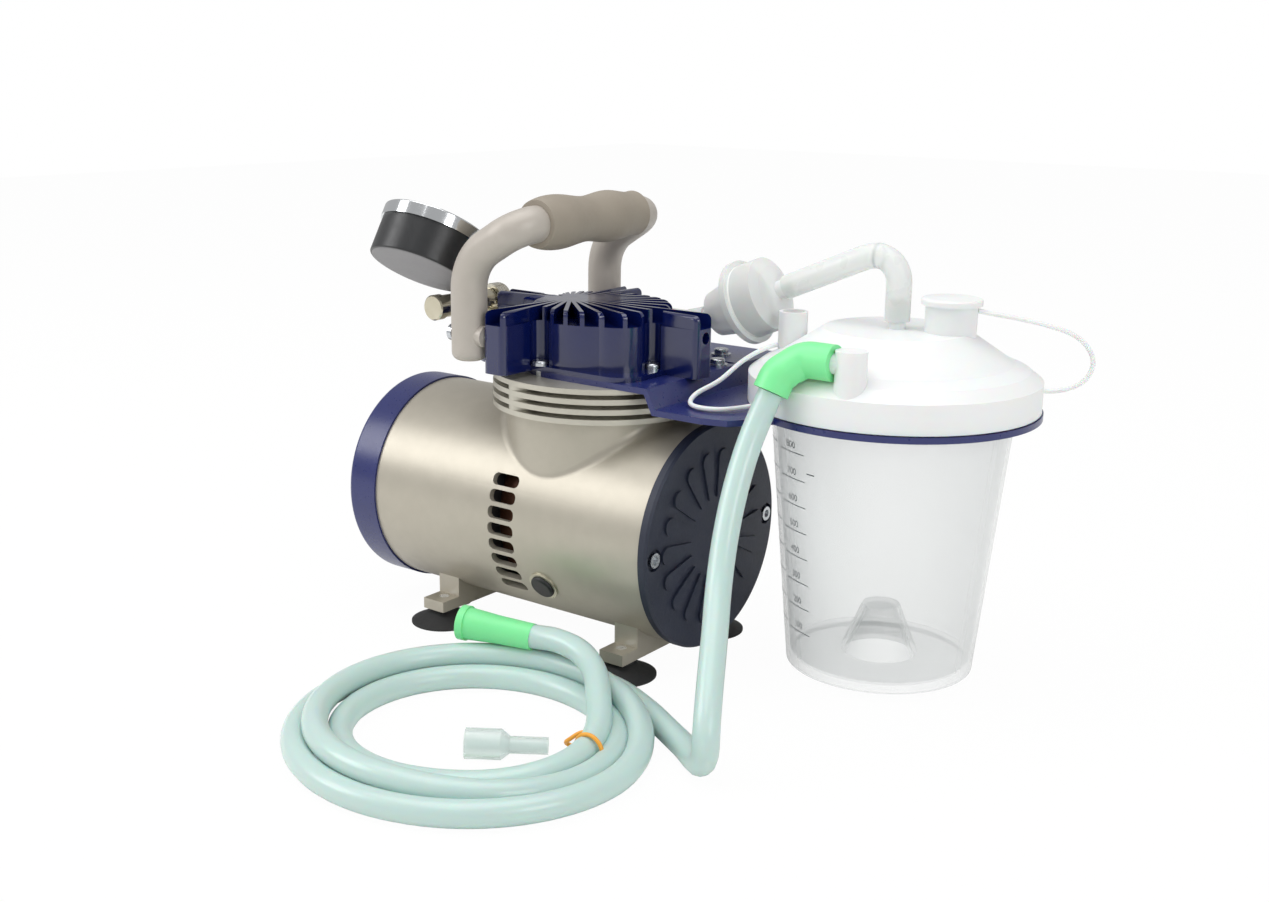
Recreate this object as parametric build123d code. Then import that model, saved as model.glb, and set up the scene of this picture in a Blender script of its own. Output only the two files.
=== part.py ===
from build123d import *
from math import atan, cos, degrees, pi, radians, sin, sqrt, tan
import os

# Portable suction pump with its collection jar, in millimetres.
# X runs along the motor axis towards the jar, Y away from the viewer, Z up from the table.

# Fits between pieces
running_gap = 0.06
seat_gap = 0.12
open_gap = 0.35

# Motor housing, a drawn tube with a cast neck for the cylinder on top
motor_height = 63.9
housing_radius = 53.0
housing_wall = 3.0
housing_rear_x = -78.9
housing_front_x = 87.9
neck_x = 25.0
neck_radius = 45.5
neck_bore = 31.0
neck_fillet = 6.0
neck_top = 119.5
vent_count = 8
vent_length = 16.0
vent_width = 6.0
vent_first_angle = 65.1
vent_pitch = 8.8
vent_x = -2.6
vent_corner = 2.6
plug_x = 27.0
plug_angle = 119.8
plug_hole_radius = 5.6
plug_head_radius = 6.3
plug_head_height = 2.6
plug_rim_radius = 7.8
plug_rim_height = 0.9

# End covers
cover_radius = 54.0
rear_cover_depth = 18.6
rear_cover_wall = 3.2
rear_cover_round = 2.2
front_cover_plate = 4.4
front_pad_height = 1.1
front_pad_count = 18
front_pad_inner = 19.0
front_pad_outer = 42.0
front_pad_root_width = 3.4
front_pad_tip_width = 8.2
spigot_depth = 5.0
spigot_wall = 3.0
cover_screw_circle = 47.1
cover_screw_radius = 1.9
cover_screw_head = 3.5
cover_screw_head_height = 2.4
cover_screw_length = 20.0
screw_recess_radius = 5.2
screw_recess_depth = 1.8
intake_slot_count = 16
intake_slot_inner = 20.0
intake_slot_outer = 38.0
intake_slot_width = 4.0

# Rotor, stator and crank
shaft_radius = 4.0
bearing_outer = 11.0
bearing_width = 7.0
bearing_race = 2.2
rotor_radius = 23.0
rotor_air_gap = 0.6
core_length = 40.0
core_front_x = -4.0
winding_length = 11.0
winding_radius = 44.0
winding_bore = 28.0
fan_radius = 42.0
fan_hub_radius = 11.0
fan_width = 9.0
fan_blade_count = 9
fan_blade_thickness = 1.6
fan_blade_pitch = 32.0
fan_x = -70.5
crank_throw = 4.0
crank_radius = 11.0
crank_width = 9.0
counterweight_radius = 24.0
counterweight_width = 6.0
crank_bearing_wall = 4.5
rod_ring_wall = 4.0
rod_beam_width = 9.0
rod_beam_thickness = 5.0
piston_radius = 18.6
piston_thickness = 4.0
piston_cup_thickness = 1.6
piston_cup_lip = 3.0
piston_top_gap = 1.2

# Finned cylinder between the neck and the bracket
fin_radius = 52.4
fin_count = 4
fin_gap = 2.2
fin_stack = 16.6
barrel_radius = 43.0
barrel_bore = 24.0
barrel_spigot_depth = 5.0
barrel_boss_radius = 6.4

# Jar bracket, one sheet bent down to the ring
sheet = 2.8
plate_near_y = -36.8
plate_far_y = 79.0
plate_corner = 9.0
fold_x = 79.0
fold_run = 4.5
lower_plate_drop = 9.0
lower_corner_x = 108.0
web_points = [(120.0, -33.5), (134.0, -16.0)]
ring_outer = 67.1
ring_inner = 57.2
valve_plate_radius = 30.0
bracket_slot_x = 67.0
bracket_slot_y = 38.5
bracket_slot_length = 13.0
bracket_slot_width = 3.4
bracket_screw_near = (73.4, 29.0)
bracket_screw_far = (60.0, 52.5)
bracket_screw_head = 3.6
bracket_screw_radius = 2.0
bracket_washer_radius = 5.0
bracket_washer = 1.0
bracket_nut_height = 3.2

# Ribbed head cover
star_x = 5.8
flange_height = 2.4
flange_round = 12.0
flange_rear_x = -27.0
flange_front_x = 67.5
bulge_radius = 34.0
corner_bulge_radius = 14.0
corner_bulge_x = 20.5
corner_bulge_y = 13.5
arm_width = 13.0
arm_edge_round = 3.2
near_arm_reach = 57.0
far_arm_reach = 52.0
front_arm_end = 85.6
rear_arm_end = -38.0
head_height = 29.4
rib_height = 6.5
rib_thickness = 2.0
ribs_between_arms = 7
rib_crown = 2.8
bolt_pocket_radius = 4.9
chamber_radius = 26.0
chamber_depth = 12.0
chamber_wall = 3.0
port_height = 18.5
port_radius = 2.8
port_depth = 16.0
head_bolt_first = (-9.6, -34.5)
head_bolt_second = (35.0, -6.4)
head_bolt_radius = 2.0
head_bolt_head = 4.0
head_bolt_head_height = 2.6
head_bolt_length = 26.5
gasket = 0.8

# Carrying handle
handle_tube_radius = 8.5
handle_leg_x = -11.2
handle_near_y = -54.0
handle_far_y = 49.0
handle_corner_y = 44.0
handle_bottom = 143.5
handle_end_round = 4.0
handle_knee = 190.0
handle_top = 208.0
handle_grip_x = 19.5
handle_bend = 12.0
handle_knee_bend = 24.0
handle_pad_radius = 5.0
grip_middle = -6.4
grip_radius = 12.4
grip_waist = 10.7
grip_end_radius = 11.0
grip_near_length = 35.5
grip_far_length = 37.5
grip_wave = 17.2
handle_screw_radius = 2.0
handle_screw_height = 12.0

# Vacuum regulator and gauge
regulator_x = -50.0
regulator_height = 162.0
regulator_near_y = -33.4
regulator_far_y = 3.0
regulator_radius = 5.6
regulator_cap_radius = 6.3
regulator_cap_length = 5.0
regulator_knob_radius = 7.6
regulator_knob_length = 10.0
nipple_radius = 4.2
nipple_y = -1.5
nipple_x = -47.0
nipple_bar_radius = 3.4
gauge_tilt = 31.0
gauge_y = -40.5
gauge_height = 191.3
gauge_radius = 25.6
gauge_depth = 23.0
gauge_wall = 1.6
bezel_radius = 26.6
bezel_height = 5.0
bezel_window = 22.6
lens_thickness = 1.6
dial_thickness = 0.8
pointer_length = 17.0
pointer_width = 1.8
pointer_thickness = 0.7
pointer_hub_radius = 2.6
pointer_pin_radius = 0.9
gauge_stem_radius = 4.2
gauge_stem_square = 10.0

# Jar, lid and the fittings on the lid
jar_x = 159.1
jar_y = 45.2
jar_bottom = 5.0
jar_foot_radius = 43.8
jar_neck_radius = 55.6
jar_wall = 1.8
jar_rim_radius = 62.0
jar_rim_height = 2.6
jar_floor_lift = 3.0
punt_radius = 16.5
punt_height = 26.0
punt_top_radius = 7.0
lid_radius = 66.4
lid_wall = 1.9
lid_skirt_gap = 0.5
lid_skirt_top = 143.6
lid_shoulder_radius = 60.4
lid_shoulder_height = 148.2
lid_dome_radius = 53.0
lid_dome_height = 151.2
lid_top_radius = 33.0
lid_top = 164.5
lid_seat_inner = 58.4
stem_radius = 3.9
stem_bore = 2.4
stem_top = 177.5
cage_radius = 9.0
cage_depth = 34.0
cage_wall = 1.4
float_radius = 6.6
float_length = 20.0
wide_port_x = 23.0
wide_port_y = 7.0
wide_port_radius = 11.6
wide_port_top = 176.8
wide_cap_radius = 13.6
wide_cap_height = 3.0
side_port_x = -50.0
side_port_y = -7.0
side_port_radius = 6.8
side_port_top = 168.0
side_port_bore = 5.2
tether_radius = 1.1
wide_tether = [
    (33.0, 13.0, 174.5), (47.4, 24.8, 171.0), (60.6, 35.9, 166.8), (70.8, 46.2, 159.3), (74.3, 48.7, 150.7),
    (72.5, 47.7, 143.7), (66.7, 44.5, 138.8), (60.7, 42.6, 136.9), (53.4, 39.0, 136.7),
]
side_tether = [
    (-55.4, -10.6, 152.0), (-58.0, -22.0, 150.5), (-61.2, -34.8, 146.0), (-63.9, -51.9, 138.6), (-68.5, -60.0, 134.4),
    (-67.5, -65.5, 132.2), (-60.0, -70.5, 131.5), (-50.5, -68.5, 131.5), (-45.0, -62.0, 131.7), (-40.4, -52.4, 132.2),
]

# Suction connector on the lid, pointing along minus X
inlet_y = -14.5
inlet_x = 168.0
inlet_height = 157.5
inlet_radius = 4.6
inlet_bore = 3.2
inlet_length = 12.0
inlet_block = 14.0
inlet_block_y = -13.0
inlet_block_top = 163.6

# Vacuum line from the jar to the pump
line_radius = 5.8
line_top = 196.5
line_drop = 9.5
filter_radius = 18.0
filter_inlet_x = 97.0
filter_inlet_height = 176.0
filter_outlet_x = 60.0
filter_outlet_height = 160.0
filter_flange = 2.6
filter_flange_thickness = 3.0
filter_neck_radius = 4.4
pump_port_x = 32.0
pump_port_height = 155.0
pump_port_radius = 5.4

# Suction tube on the table
tube_radius = 5.6
tube_bore = 3.8
coil_x = 62.5
coil_y = -134.9
coil_long = 83.5
coil_short = 79.3
coil_width = 24.7
coil_height = 17.3
coil_lift = 0.1
coil_round = 4.5
coil_tail = [(44.0, -74.0, 24.0), (58.0, -70.0, 21.5), (72.0, -68.5, 15.5), (84.0, -69.0, 11.0)]
connector_radius = 8.0
connector_mouth_wall = 2.2
connector_knee = 3.0
connector_bend = 8.6
tube_route = [
    (136.6, -25.5, 143.6), (133.0, -32.5, 127.5), (132.6, -42.5, 110.0), (134.6, -54.0, 90.0), (139.4, -66.5, 69.0),
    (145.7, -78.5, 48.0), (152.6, -89.8, 28.5), (158.8, -98.0, 13.3), (153.1, -98.8, 5.7), (138.0, -92.0, 7.4),
    (127.5, -86.6, 9.1),
]

# Loose ends of the tube: the funnel on the coil, the clear adapter and the wire tie
funnel_from = (9.0, -84.0, 26.0)
funnel_to = (44.0, -74.0, 24.0)
funnel_mouth_radius = 8.2
funnel_mouth_length = 3.5
funnel_neck_radius = 6.6
funnel_end_radius = 6.1
funnel_socket = 10.0
adapter_from = (70.0, -148.0, 6.6)
adapter_to = (98.0, -128.0, 6.0)
adapter_barrel_radius = 6.4
adapter_barrel_length = 15.0
adapter_neck_radius = 3.6
adapter_bore = 2.2
tie_radius = 0.9
tie_ring = 6.9
tie_centre = (117.0, -125.0, 8.4)
tie_turn = 50.0
tie_tail = [(111.8, -120.0, 12.6), (107.0, -119.5, 11.0), (103.5, -121.0, 8.0), (100.5, -119.5, 5.0), (103.0, -117.0, 3.0)]

# Rails, feet and the switch box on the far side
rail_rear_x = -53.5
rail_front_x = 60.5
rail_width = 13.5
rail_length = 91.4
rail_bottom = 7.6
rail_top = 13.1
rail_saddle_inner = 15.0
rail_saddle_outer = 34.0
rail_saddle_top = 26.0
rail_screw_y = 24.0
rail_screw_radius = 2.0
foot_inset = 8.0
foot_offset = 6.75
foot_radius = 16.9
foot_height = 6.0
foot_cup_depth = 2.6
foot_neck_radius = 6.0
stud_radius = 2.5
switch_box_x = -66.0
switch_box_length = 44.0
switch_box_height = 40.0
switch_box_reach = 62.0
rocker_length = 13.0
rocker_width = 19.0
rocker_x = -57.0
rocker_rise = 3.0
inlet_socket_x = -36.5
inlet_socket_length = 20.0
inlet_socket_width = 25.0
inlet_socket_depth = 4.5

# Worked out from the sizes above
sheet_top = neck_top + fin_stack + sheet
head_base = sheet_top
head_top = head_base + head_height
ring_top = sheet_top - lower_plate_drop
housing_bore = housing_radius - housing_wall
spigot_radius = housing_bore - seat_gap
fin_thickness = (fin_stack - (fin_count - 1) * fin_gap) / fin_count
core_rear_x = core_front_x - core_length
crank_pin_height = motor_height + crank_throw
rod_ring_bore = crank_radius + running_gap + crank_bearing_wall
rod_ring_radius = rod_ring_bore + rod_ring_wall
piston_top = head_base - sheet - piston_top_gap
housing_floor = motor_height - housing_radius
foot_y = rail_length / 2 - foot_inset
lid_base = ring_top + jar_rim_height + seat_gap


def rod_x(radius, x0, x1, y=0.0, z=0.0):
    """Cylinder along X from x0 to x1."""
    body = Cylinder(radius, x1 - x0, align=(Align.CENTER, Align.CENTER, Align.MIN))
    return Pos(x0, y, z) * Rot(0, 90, 0) * body


def rod_y(radius, y0, y1, x=0.0, z=0.0):
    """Cylinder along Y from y0 to y1."""
    body = Cylinder(radius, y1 - y0, align=(Align.CENTER, Align.CENTER, Align.MIN))
    return Pos(x, y0, z) * Rot(-90, 0, 0) * body


def rod_z(radius, z0, z1, x=0.0, y=0.0):
    """Cylinder along Z from z0 to z1."""
    body = Cylinder(radius, z1 - z0, align=(Align.CENTER, Align.CENTER, Align.MIN))
    return Pos(x, y, z0) * body


def block(x0, x1, y0, y1, z0, z1):
    """Box between two corners."""
    body = Box(x1 - x0, y1 - y0, z1 - z0, align=(Align.MIN, Align.MIN, Align.MIN))
    return Pos(x0, y0, z0) * body


def turned(points, x=0.0, y=0.0):
    """Solid turned about a vertical axis from (radius, height) points."""
    outline = Polyline([(r, 0, z) for r, z in points], close=True)
    return Pos(x, y, 0) * revolve(make_face(outline), Axis.Z)


def joined(pieces):
    """Union of a list of solids."""
    whole = pieces[0]
    for piece in pieces[1:]:
        whole = whole + piece
    return whole


def on_motor(angle, shape):
    """Turn a shape that stands above the motor axis by an angle towards minus Y."""
    return Pos(0, 0, motor_height) * Rot(angle, 0, 0) * shape


def head_bolt_places():
    """The four head bolts, two and two opposite about the cylinder axis."""
    places = []
    for dx, dy in (head_bolt_first, head_bolt_second):
        places.append((neck_x + dx, dy))
        places.append((neck_x - dx, -dy))
    return places


def head_bolt_holes(radius, z0, z1):
    """Straight holes on the head bolts."""
    return joined([rod_z(radius, z0, z1, x, y) for x, y in head_bolt_places()])


# Motor body
def motor_housing():
    """Tube with the neck, cooling slots on both sides and the plug hole."""
    tube = rod_x(housing_radius, housing_rear_x, housing_front_x, 0, motor_height)
    neck = rod_z(neck_radius, motor_height, neck_top, neck_x)
    body = tube + neck
    seam = [e for e in body.edges() if e.geom_type not in (GeomType.CIRCLE, GeomType.LINE)]
    body = fillet(seam, neck_fillet)
    body -= rod_x(housing_bore, housing_rear_x, housing_front_x, 0, motor_height)
    body -= rod_z(neck_bore, motor_height, neck_top, neck_x)
    slot = Box(vent_length, vent_width, 2 * housing_wall + housing_wall)
    slot = fillet(slot.edges().filter_by(Axis.Z), vent_corner)
    slot = Pos(vent_x + vent_length / 2, 0, housing_radius - housing_wall / 2) * slot
    for side in (1, -1):
        for index in range(vent_count):
            angle = vent_first_angle + index * vent_pitch
            body -= on_motor(side * angle, slot)
    hole = rod_z(plug_hole_radius, housing_bore - housing_wall, housing_radius + housing_wall, plug_x)
    body -= on_motor(plug_angle, hole)
    body -= head_bolt_holes(head_bolt_radius, neck_top - head_bolt_length, neck_top)
    for x in (rail_rear_x + rail_width / 2, rail_front_x + rail_width / 2):
        for y in (-rail_screw_y, rail_screw_y):
            body -= rod_z(rail_screw_radius, 0, motor_height / 2, x, y)
    switch_mid = switch_box_x + switch_box_length / 2
    window = block(switch_mid - inlet_socket_length, switch_mid + inlet_socket_length,
                   housing_bore / 2, housing_radius * 2,
                   motor_height - switch_box_height / 4, motor_height + switch_box_height / 4)
    return body - window


def hole_plug():
    """Rubber plug with a domed head in the side hole."""
    shank = rod_z(plug_hole_radius, housing_bore - housing_wall / 2, housing_radius, plug_x)
    head = rod_z(plug_head_radius, housing_radius, housing_radius + plug_head_height, plug_x)
    head = fillet(head.edges().group_by(Axis.Z)[-1], plug_head_height / 2)
    flat = rod_z(plug_rim_radius * 2, housing_bore, housing_radius + plug_rim_height / 4, plug_x)
    seat = rod_x(housing_radius, vent_x, plug_x * 2)
    head = head + (rod_z(plug_head_radius, housing_bore, housing_radius, plug_x) & flat - seat)
    return on_motor(plug_angle, shank + head)


def plug_rim():
    """Bright ring round the plug."""
    ring = rod_z(plug_rim_radius, housing_bore, housing_radius + plug_rim_height, plug_x)
    ring -= rod_z(plug_head_radius + running_gap, 0, housing_radius * 2, plug_x)
    ring -= rod_x(housing_radius, vent_x, plug_x * 2)
    return on_motor(plug_angle, ring)


def rail_screws():
    """Screws up through the rails into the tube."""
    screws = []
    head = rail_screw_radius * 2
    for x in (rail_rear_x + rail_width / 2, rail_front_x + rail_width / 2):
        for y in (-rail_screw_y, rail_screw_y):
            top = motor_height - sqrt(housing_bore ** 2 - rail_screw_y ** 2)
            screw = rod_z(rail_screw_radius, rail_bottom, top, x, y)
            screw += rod_z(head, rail_bottom - head / 2, rail_bottom, x, y)
            screws.append(screw)
    return screws


def rail(x0):
    """Cross rail with two saddle bosses under the tube and a stud hole at each end."""
    half = rail_length / 2
    body = block(x0, x0 + rail_width, -half, half, rail_bottom, rail_top)
    for side in (-1, 1):
        inner = side * rail_saddle_inner
        outer = side * rail_saddle_outer
        boss = block(x0, x0 + rail_width, min(inner, outer), max(inner, outer), rail_bottom, rail_saddle_top)
        body += boss
        screw_x = x0 + rail_width / 2
        body -= rod_z(rail_screw_radius, rail_bottom, rail_saddle_top, screw_x, side * rail_screw_y)
        body -= rod_z(stud_radius, rail_bottom, rail_top, x0 + foot_offset, side * foot_y)
    return body - rod_x(housing_radius, x0 - rail_width, x0 + 2 * rail_width, 0, motor_height)


def foot_places():
    """Centres of the four suction feet."""
    xs = (rail_rear_x + foot_offset, rail_front_x + foot_offset)
    return [(x, y) for x in xs for y in (-foot_y, foot_y)]


def suction_feet():
    """Rubber cups, hollow underneath."""
    feet = []
    for x, y in foot_places():
        cup = turned([
            (stud_radius, foot_height - foot_cup_depth / 2),
            (foot_radius - foot_cup_depth, 0),
            (foot_radius, 0),
            (foot_radius, foot_cup_depth / 3),
            (foot_neck_radius + foot_cup_depth, foot_height - foot_cup_depth / 2),
            (foot_neck_radius, foot_height),
            (foot_neck_radius, rail_bottom),
            (stud_radius, rail_bottom),
        ], x, y)
        feet.append(cup)
    return feet


def foot_studs():
    """Threaded studs through the rails into the feet."""
    return [rod_z(stud_radius, foot_height - foot_cup_depth / 2, rail_top, x, y) for x, y in foot_places()]


def cover_screw_holes(radius, x0, x1):
    """Holes for the two screws of an end cover."""
    return joined([rod_x(radius, x0, x1, side * cover_screw_circle, motor_height) for side in (-1, 1)])


def rear_cover():
    """Deep end cap with air slots, a spigot and a bearing boss."""
    rear_x = housing_rear_x - rear_cover_depth
    body = rod_x(cover_radius, rear_x, housing_rear_x, 0, motor_height)
    body = fillet(body.edges().sort_by(Axis.X)[0], rear_cover_round)
    body += rod_x(spigot_radius, housing_rear_x, housing_rear_x + spigot_depth, 0, motor_height)
    hollow = spigot_radius - spigot_wall
    body -= rod_x(hollow, rear_x + rear_cover_wall, housing_rear_x + spigot_depth, 0, motor_height)
    boss_end = rear_x + rear_cover_wall + bearing_width
    body += rod_x(bearing_outer + spigot_wall, rear_x, boss_end, 0, motor_height)
    body -= rod_x(bearing_outer, boss_end - bearing_width, boss_end, 0, motor_height)
    slot_length = intake_slot_outer - intake_slot_inner
    slot = Pos(0, 0, (intake_slot_inner + intake_slot_outer) / 2) * Box(rear_cover_wall * 3,
                                                                       intake_slot_width, slot_length)
    slot = Pos(rear_x, 0, 0) * slot
    for index in range(intake_slot_count):
        body -= on_motor(index * 360 / intake_slot_count, slot)
    for side in (-1, 1):
        pillar = rod_x(screw_recess_radius, rear_x, housing_rear_x, side * cover_screw_circle, motor_height)
        body += pillar & rod_x(cover_radius - rear_cover_round, rear_x, housing_rear_x, 0, motor_height)
    return body - cover_screw_holes(cover_screw_radius, rear_x, housing_rear_x + spigot_depth)


def cover_screw_groups(x_head, direction, length):
    """Two cap screws with their heads at x_head."""
    screws = []
    for side in (-1, 1):
        y = side * cover_screw_circle
        tip = x_head - direction * length
        shank = rod_x(cover_screw_radius, min(x_head, tip), max(x_head, tip), y, motor_height)
        far = x_head + direction * cover_screw_head_height
        head = rod_x(cover_screw_head, min(x_head, far), max(x_head, far), y, motor_height)
        socket = rod_x(cover_screw_radius, min(far, x_head), max(far, x_head), y, motor_height)
        depth = Pos(direction * cover_screw_head_height / 2, 0, 0) * socket
        screws.append(shank + (head - depth))
    return screws


def cover_screws():
    """Both pairs of cap screws of the end covers."""
    rear = cover_screw_groups(housing_rear_x - rear_cover_depth, -1, cover_screw_length)
    front = cover_screw_groups(housing_front_x + front_cover_plate - screw_recess_depth, 1, front_cover_plate)
    return rear + front


def pad_outline():
    """One raised petal of the front cover, pointing up."""
    root = front_pad_root_width / 2
    tip = front_pad_tip_width / 2
    shoulder = front_pad_outer - tip
    edge = Polyline([(-tip, shoulder), (-root, front_pad_inner), (root, front_pad_inner), (tip, shoulder)])
    cap = ThreePointArc((tip, shoulder), (0, front_pad_outer), (-tip, shoulder))
    return make_face([edge, cap])


def front_cover():
    """Ribbed end cap with raised petals and two recessed screws."""
    face_x = housing_front_x + front_cover_plate
    body = rod_x(cover_radius, housing_front_x, face_x, 0, motor_height)
    body = chamfer(body.edges().sort_by(Axis.X)[-1], front_pad_height)
    body += rod_x(spigot_radius, housing_front_x - spigot_depth, housing_front_x, 0, motor_height)
    hollow = spigot_radius - spigot_wall
    body -= rod_x(hollow, housing_front_x - spigot_depth, housing_front_x, 0, motor_height)
    boss_x = housing_front_x - bearing_width
    body += rod_x(bearing_outer + spigot_wall, boss_x, housing_front_x, 0, motor_height)
    body -= rod_x(bearing_outer, boss_x, housing_front_x, 0, motor_height)
    for side in (-1, 1):
        y = side * cover_screw_circle
        pillar = rod_x(screw_recess_radius, housing_front_x - spigot_depth, housing_front_x, y, motor_height)
        body += pillar & rod_x(spigot_radius, boss_x, housing_front_x, 0, motor_height)
        body -= rod_x(screw_recess_radius, face_x - screw_recess_depth, face_x, y, motor_height)
    petal = extrude(Plane.YZ * pad_outline(), front_pad_height)
    for index in range(front_pad_count):
        angle = (index + 0.5) * 360 / front_pad_count
        body += Pos(face_x, 0, motor_height) * Rot(angle, 0, 0) * petal
    return body - cover_screw_holes(cover_screw_radius, boss_x, face_x)


# Rotor, stator and crank
def rear_bearing_x():
    """Where the rear bearing starts."""
    return housing_rear_x - rear_cover_depth + rear_cover_wall


def bearing(x0):
    """Two races and a ring of balls seen as one closed ring."""
    ring = rod_x(bearing_outer, x0, x0 + bearing_width, 0, motor_height)
    ring -= rod_x(shaft_radius + running_gap, x0, x0 + bearing_width, 0, motor_height)
    groove = rod_x(bearing_outer - bearing_race, x0, x0 + bearing_race / 2, 0, motor_height)
    groove -= rod_x(shaft_radius + bearing_race, x0, x0 + bearing_race / 2, 0, motor_height)
    return ring - groove - Pos(bearing_width - bearing_race / 2, 0, 0) * groove


def motor_shaft():
    """Steel shaft carried in the two end bearings."""
    return rod_x(shaft_radius, rear_bearing_x() + seat_gap, housing_front_x - seat_gap, 0, motor_height)


def rotor_core():
    """Laminated rotor with end rings."""
    body = rod_x(rotor_radius, core_rear_x, core_front_x, 0, motor_height)
    for x0 in (core_rear_x - fin_gap, core_front_x):
        body += rod_x(rotor_radius - fin_gap, x0, x0 + fin_gap, 0, motor_height)
    return body - rod_x(shaft_radius, core_rear_x - fin_gap, core_front_x + fin_gap, 0, motor_height)


def stator_core():
    """Stator ring with four flats for the air."""
    body = rod_x(housing_bore - seat_gap, core_rear_x, core_front_x, 0, motor_height)
    body -= rod_x(rotor_radius + rotor_air_gap, core_rear_x, core_front_x, 0, motor_height)
    flat = block(core_rear_x, core_front_x, -housing_bore, housing_bore, 0.94 * housing_bore, housing_radius)
    for index in range(4):
        body -= on_motor(45 + index * 90, flat)
    return body


def stator_windings():
    """Copper end turns on both sides of the stator."""
    coils = []
    for x0 in (core_rear_x - winding_length, core_front_x):
        ring = rod_x(winding_radius, x0, x0 + winding_length, 0, motor_height)
        ring -= rod_x(winding_bore, x0, x0 + winding_length, 0, motor_height)
        coils.append(fillet(ring.edges(), winding_length / 5))
    return coils


def cooling_fan():
    """Axial fan with slanted blades."""
    hub = rod_x(fan_hub_radius, fan_x, fan_x + fan_width, 0, motor_height)
    reach = fan_radius - fan_hub_radius / 2
    blade = Box(fan_width * 0.95, fan_blade_thickness, reach)
    blade = Pos(fan_x + fan_width / 2, 0, fan_hub_radius / 2 + reach / 2) * Rot(0, 0, fan_blade_pitch) * blade
    for index in range(fan_blade_count):
        hub += on_motor(index * 360 / fan_blade_count, blade)
    return hub - rod_x(shaft_radius, fan_x - fan_width, fan_x + 2 * fan_width, 0, motor_height)


def crank():
    """Eccentric disc with its counterweight, clamped on the shaft."""
    x0 = neck_x - crank_width / 2
    disc = rod_x(crank_radius, x0, x0 + crank_width, 0, crank_pin_height)
    web_x = x0 + crank_width
    web = rod_x(crank_radius + crank_throw, web_x, web_x + counterweight_width, 0, motor_height)
    sector = rod_x(counterweight_radius, web_x, web_x + counterweight_width, 0, motor_height)
    keep = block(web_x, web_x + counterweight_width, -housing_bore, housing_bore, 0, motor_height)
    body = disc + web + (sector & keep)
    return body - rod_x(shaft_radius, x0, web_x + counterweight_width, 0, motor_height)


def crank_bearing():
    """Needle bearing ring on the eccentric."""
    x0 = neck_x - crank_width / 2
    ring = rod_x(rod_ring_bore, x0, x0 + crank_width, 0, crank_pin_height)
    return ring - rod_x(crank_radius + running_gap, x0, x0 + crank_width, 0, crank_pin_height)


def connecting_rod():
    """Ring, beam and the piston plate in one casting."""
    x0 = neck_x - crank_width / 2
    plate_base = piston_top - piston_cup_thickness - piston_thickness
    ring = rod_x(rod_ring_radius, x0, x0 + crank_width, 0, crank_pin_height)
    half = rod_beam_thickness / 2
    beam = block(neck_x - half, neck_x + half, -rod_beam_width / 2, rod_beam_width / 2,
                 crank_pin_height, plate_base)
    plate = rod_z(piston_radius, plate_base, plate_base + piston_thickness, neck_x)
    body = ring + beam + plate
    return body - rod_x(rod_ring_bore, x0, x0 + crank_width, 0, crank_pin_height)


def piston_cup():
    """Soft cup seal on the piston plate, its lip turned up."""
    z0 = piston_top - piston_cup_thickness
    disc = rod_z(piston_radius, z0, piston_top, neck_x)
    lip = rod_z(piston_radius, z0, piston_top, neck_x) - rod_z(piston_radius - piston_cup_thickness,
                                                               z0, piston_top, neck_x)
    recess = rod_z(piston_radius - piston_cup_lip, z0 + piston_cup_thickness / 2, piston_top, neck_x)
    return disc + lip - recess


# Finned cylinder
def finned_cylinder():
    """Cylinder with four cooling discs and bosses on the bolts."""
    top = neck_top + fin_stack
    body = rod_z(barrel_radius, neck_top, top, neck_x)
    body += rod_z(neck_bore - seat_gap, neck_top - barrel_spigot_depth, neck_top, neck_x)
    pitch = fin_thickness + fin_gap
    for index in range(fin_count):
        base = neck_top + index * pitch
        body += rod_z(fin_radius, base, base + fin_thickness, neck_x)
    for x, y in head_bolt_places():
        away = sqrt((x - neck_x) ** 2 + y ** 2)
        reach = (fin_radius - barrel_boss_radius) / away
        boss = rod_z(barrel_boss_radius, neck_top, top, neck_x + (x - neck_x) * reach, y * reach)
        body += boss
    body -= rod_z(barrel_bore, neck_top - barrel_spigot_depth, top, neck_x)
    return body - head_bolt_holes(head_bolt_radius, neck_top - barrel_spigot_depth, top)


def valve_plate():
    """Plate in the bracket's hole with two rows of valve holes."""
    base = sheet_top - sheet
    body = rod_z(valve_plate_radius - seat_gap, base, sheet_top, neck_x)
    for side in (-1, 1):
        for index in range(3):
            body -= rod_z(port_radius / 2, base, sheet_top, neck_x + side * valve_plate_radius / 3,
                          (index - 1) * port_radius * 2)
    return body


def reed_valves():
    """Thin spring leaves, one over and one under the valve plate."""
    leaves = []
    length = port_radius * 7
    width = port_radius * 2
    for side, base in ((1, sheet_top), (-1, sheet_top - sheet - gasket / 2)):
        x = neck_x + side * valve_plate_radius / 3
        leaves.append(block(x - width / 2, x + width / 2, -length / 2, length / 2, base, base + gasket / 2))
    return leaves


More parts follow.
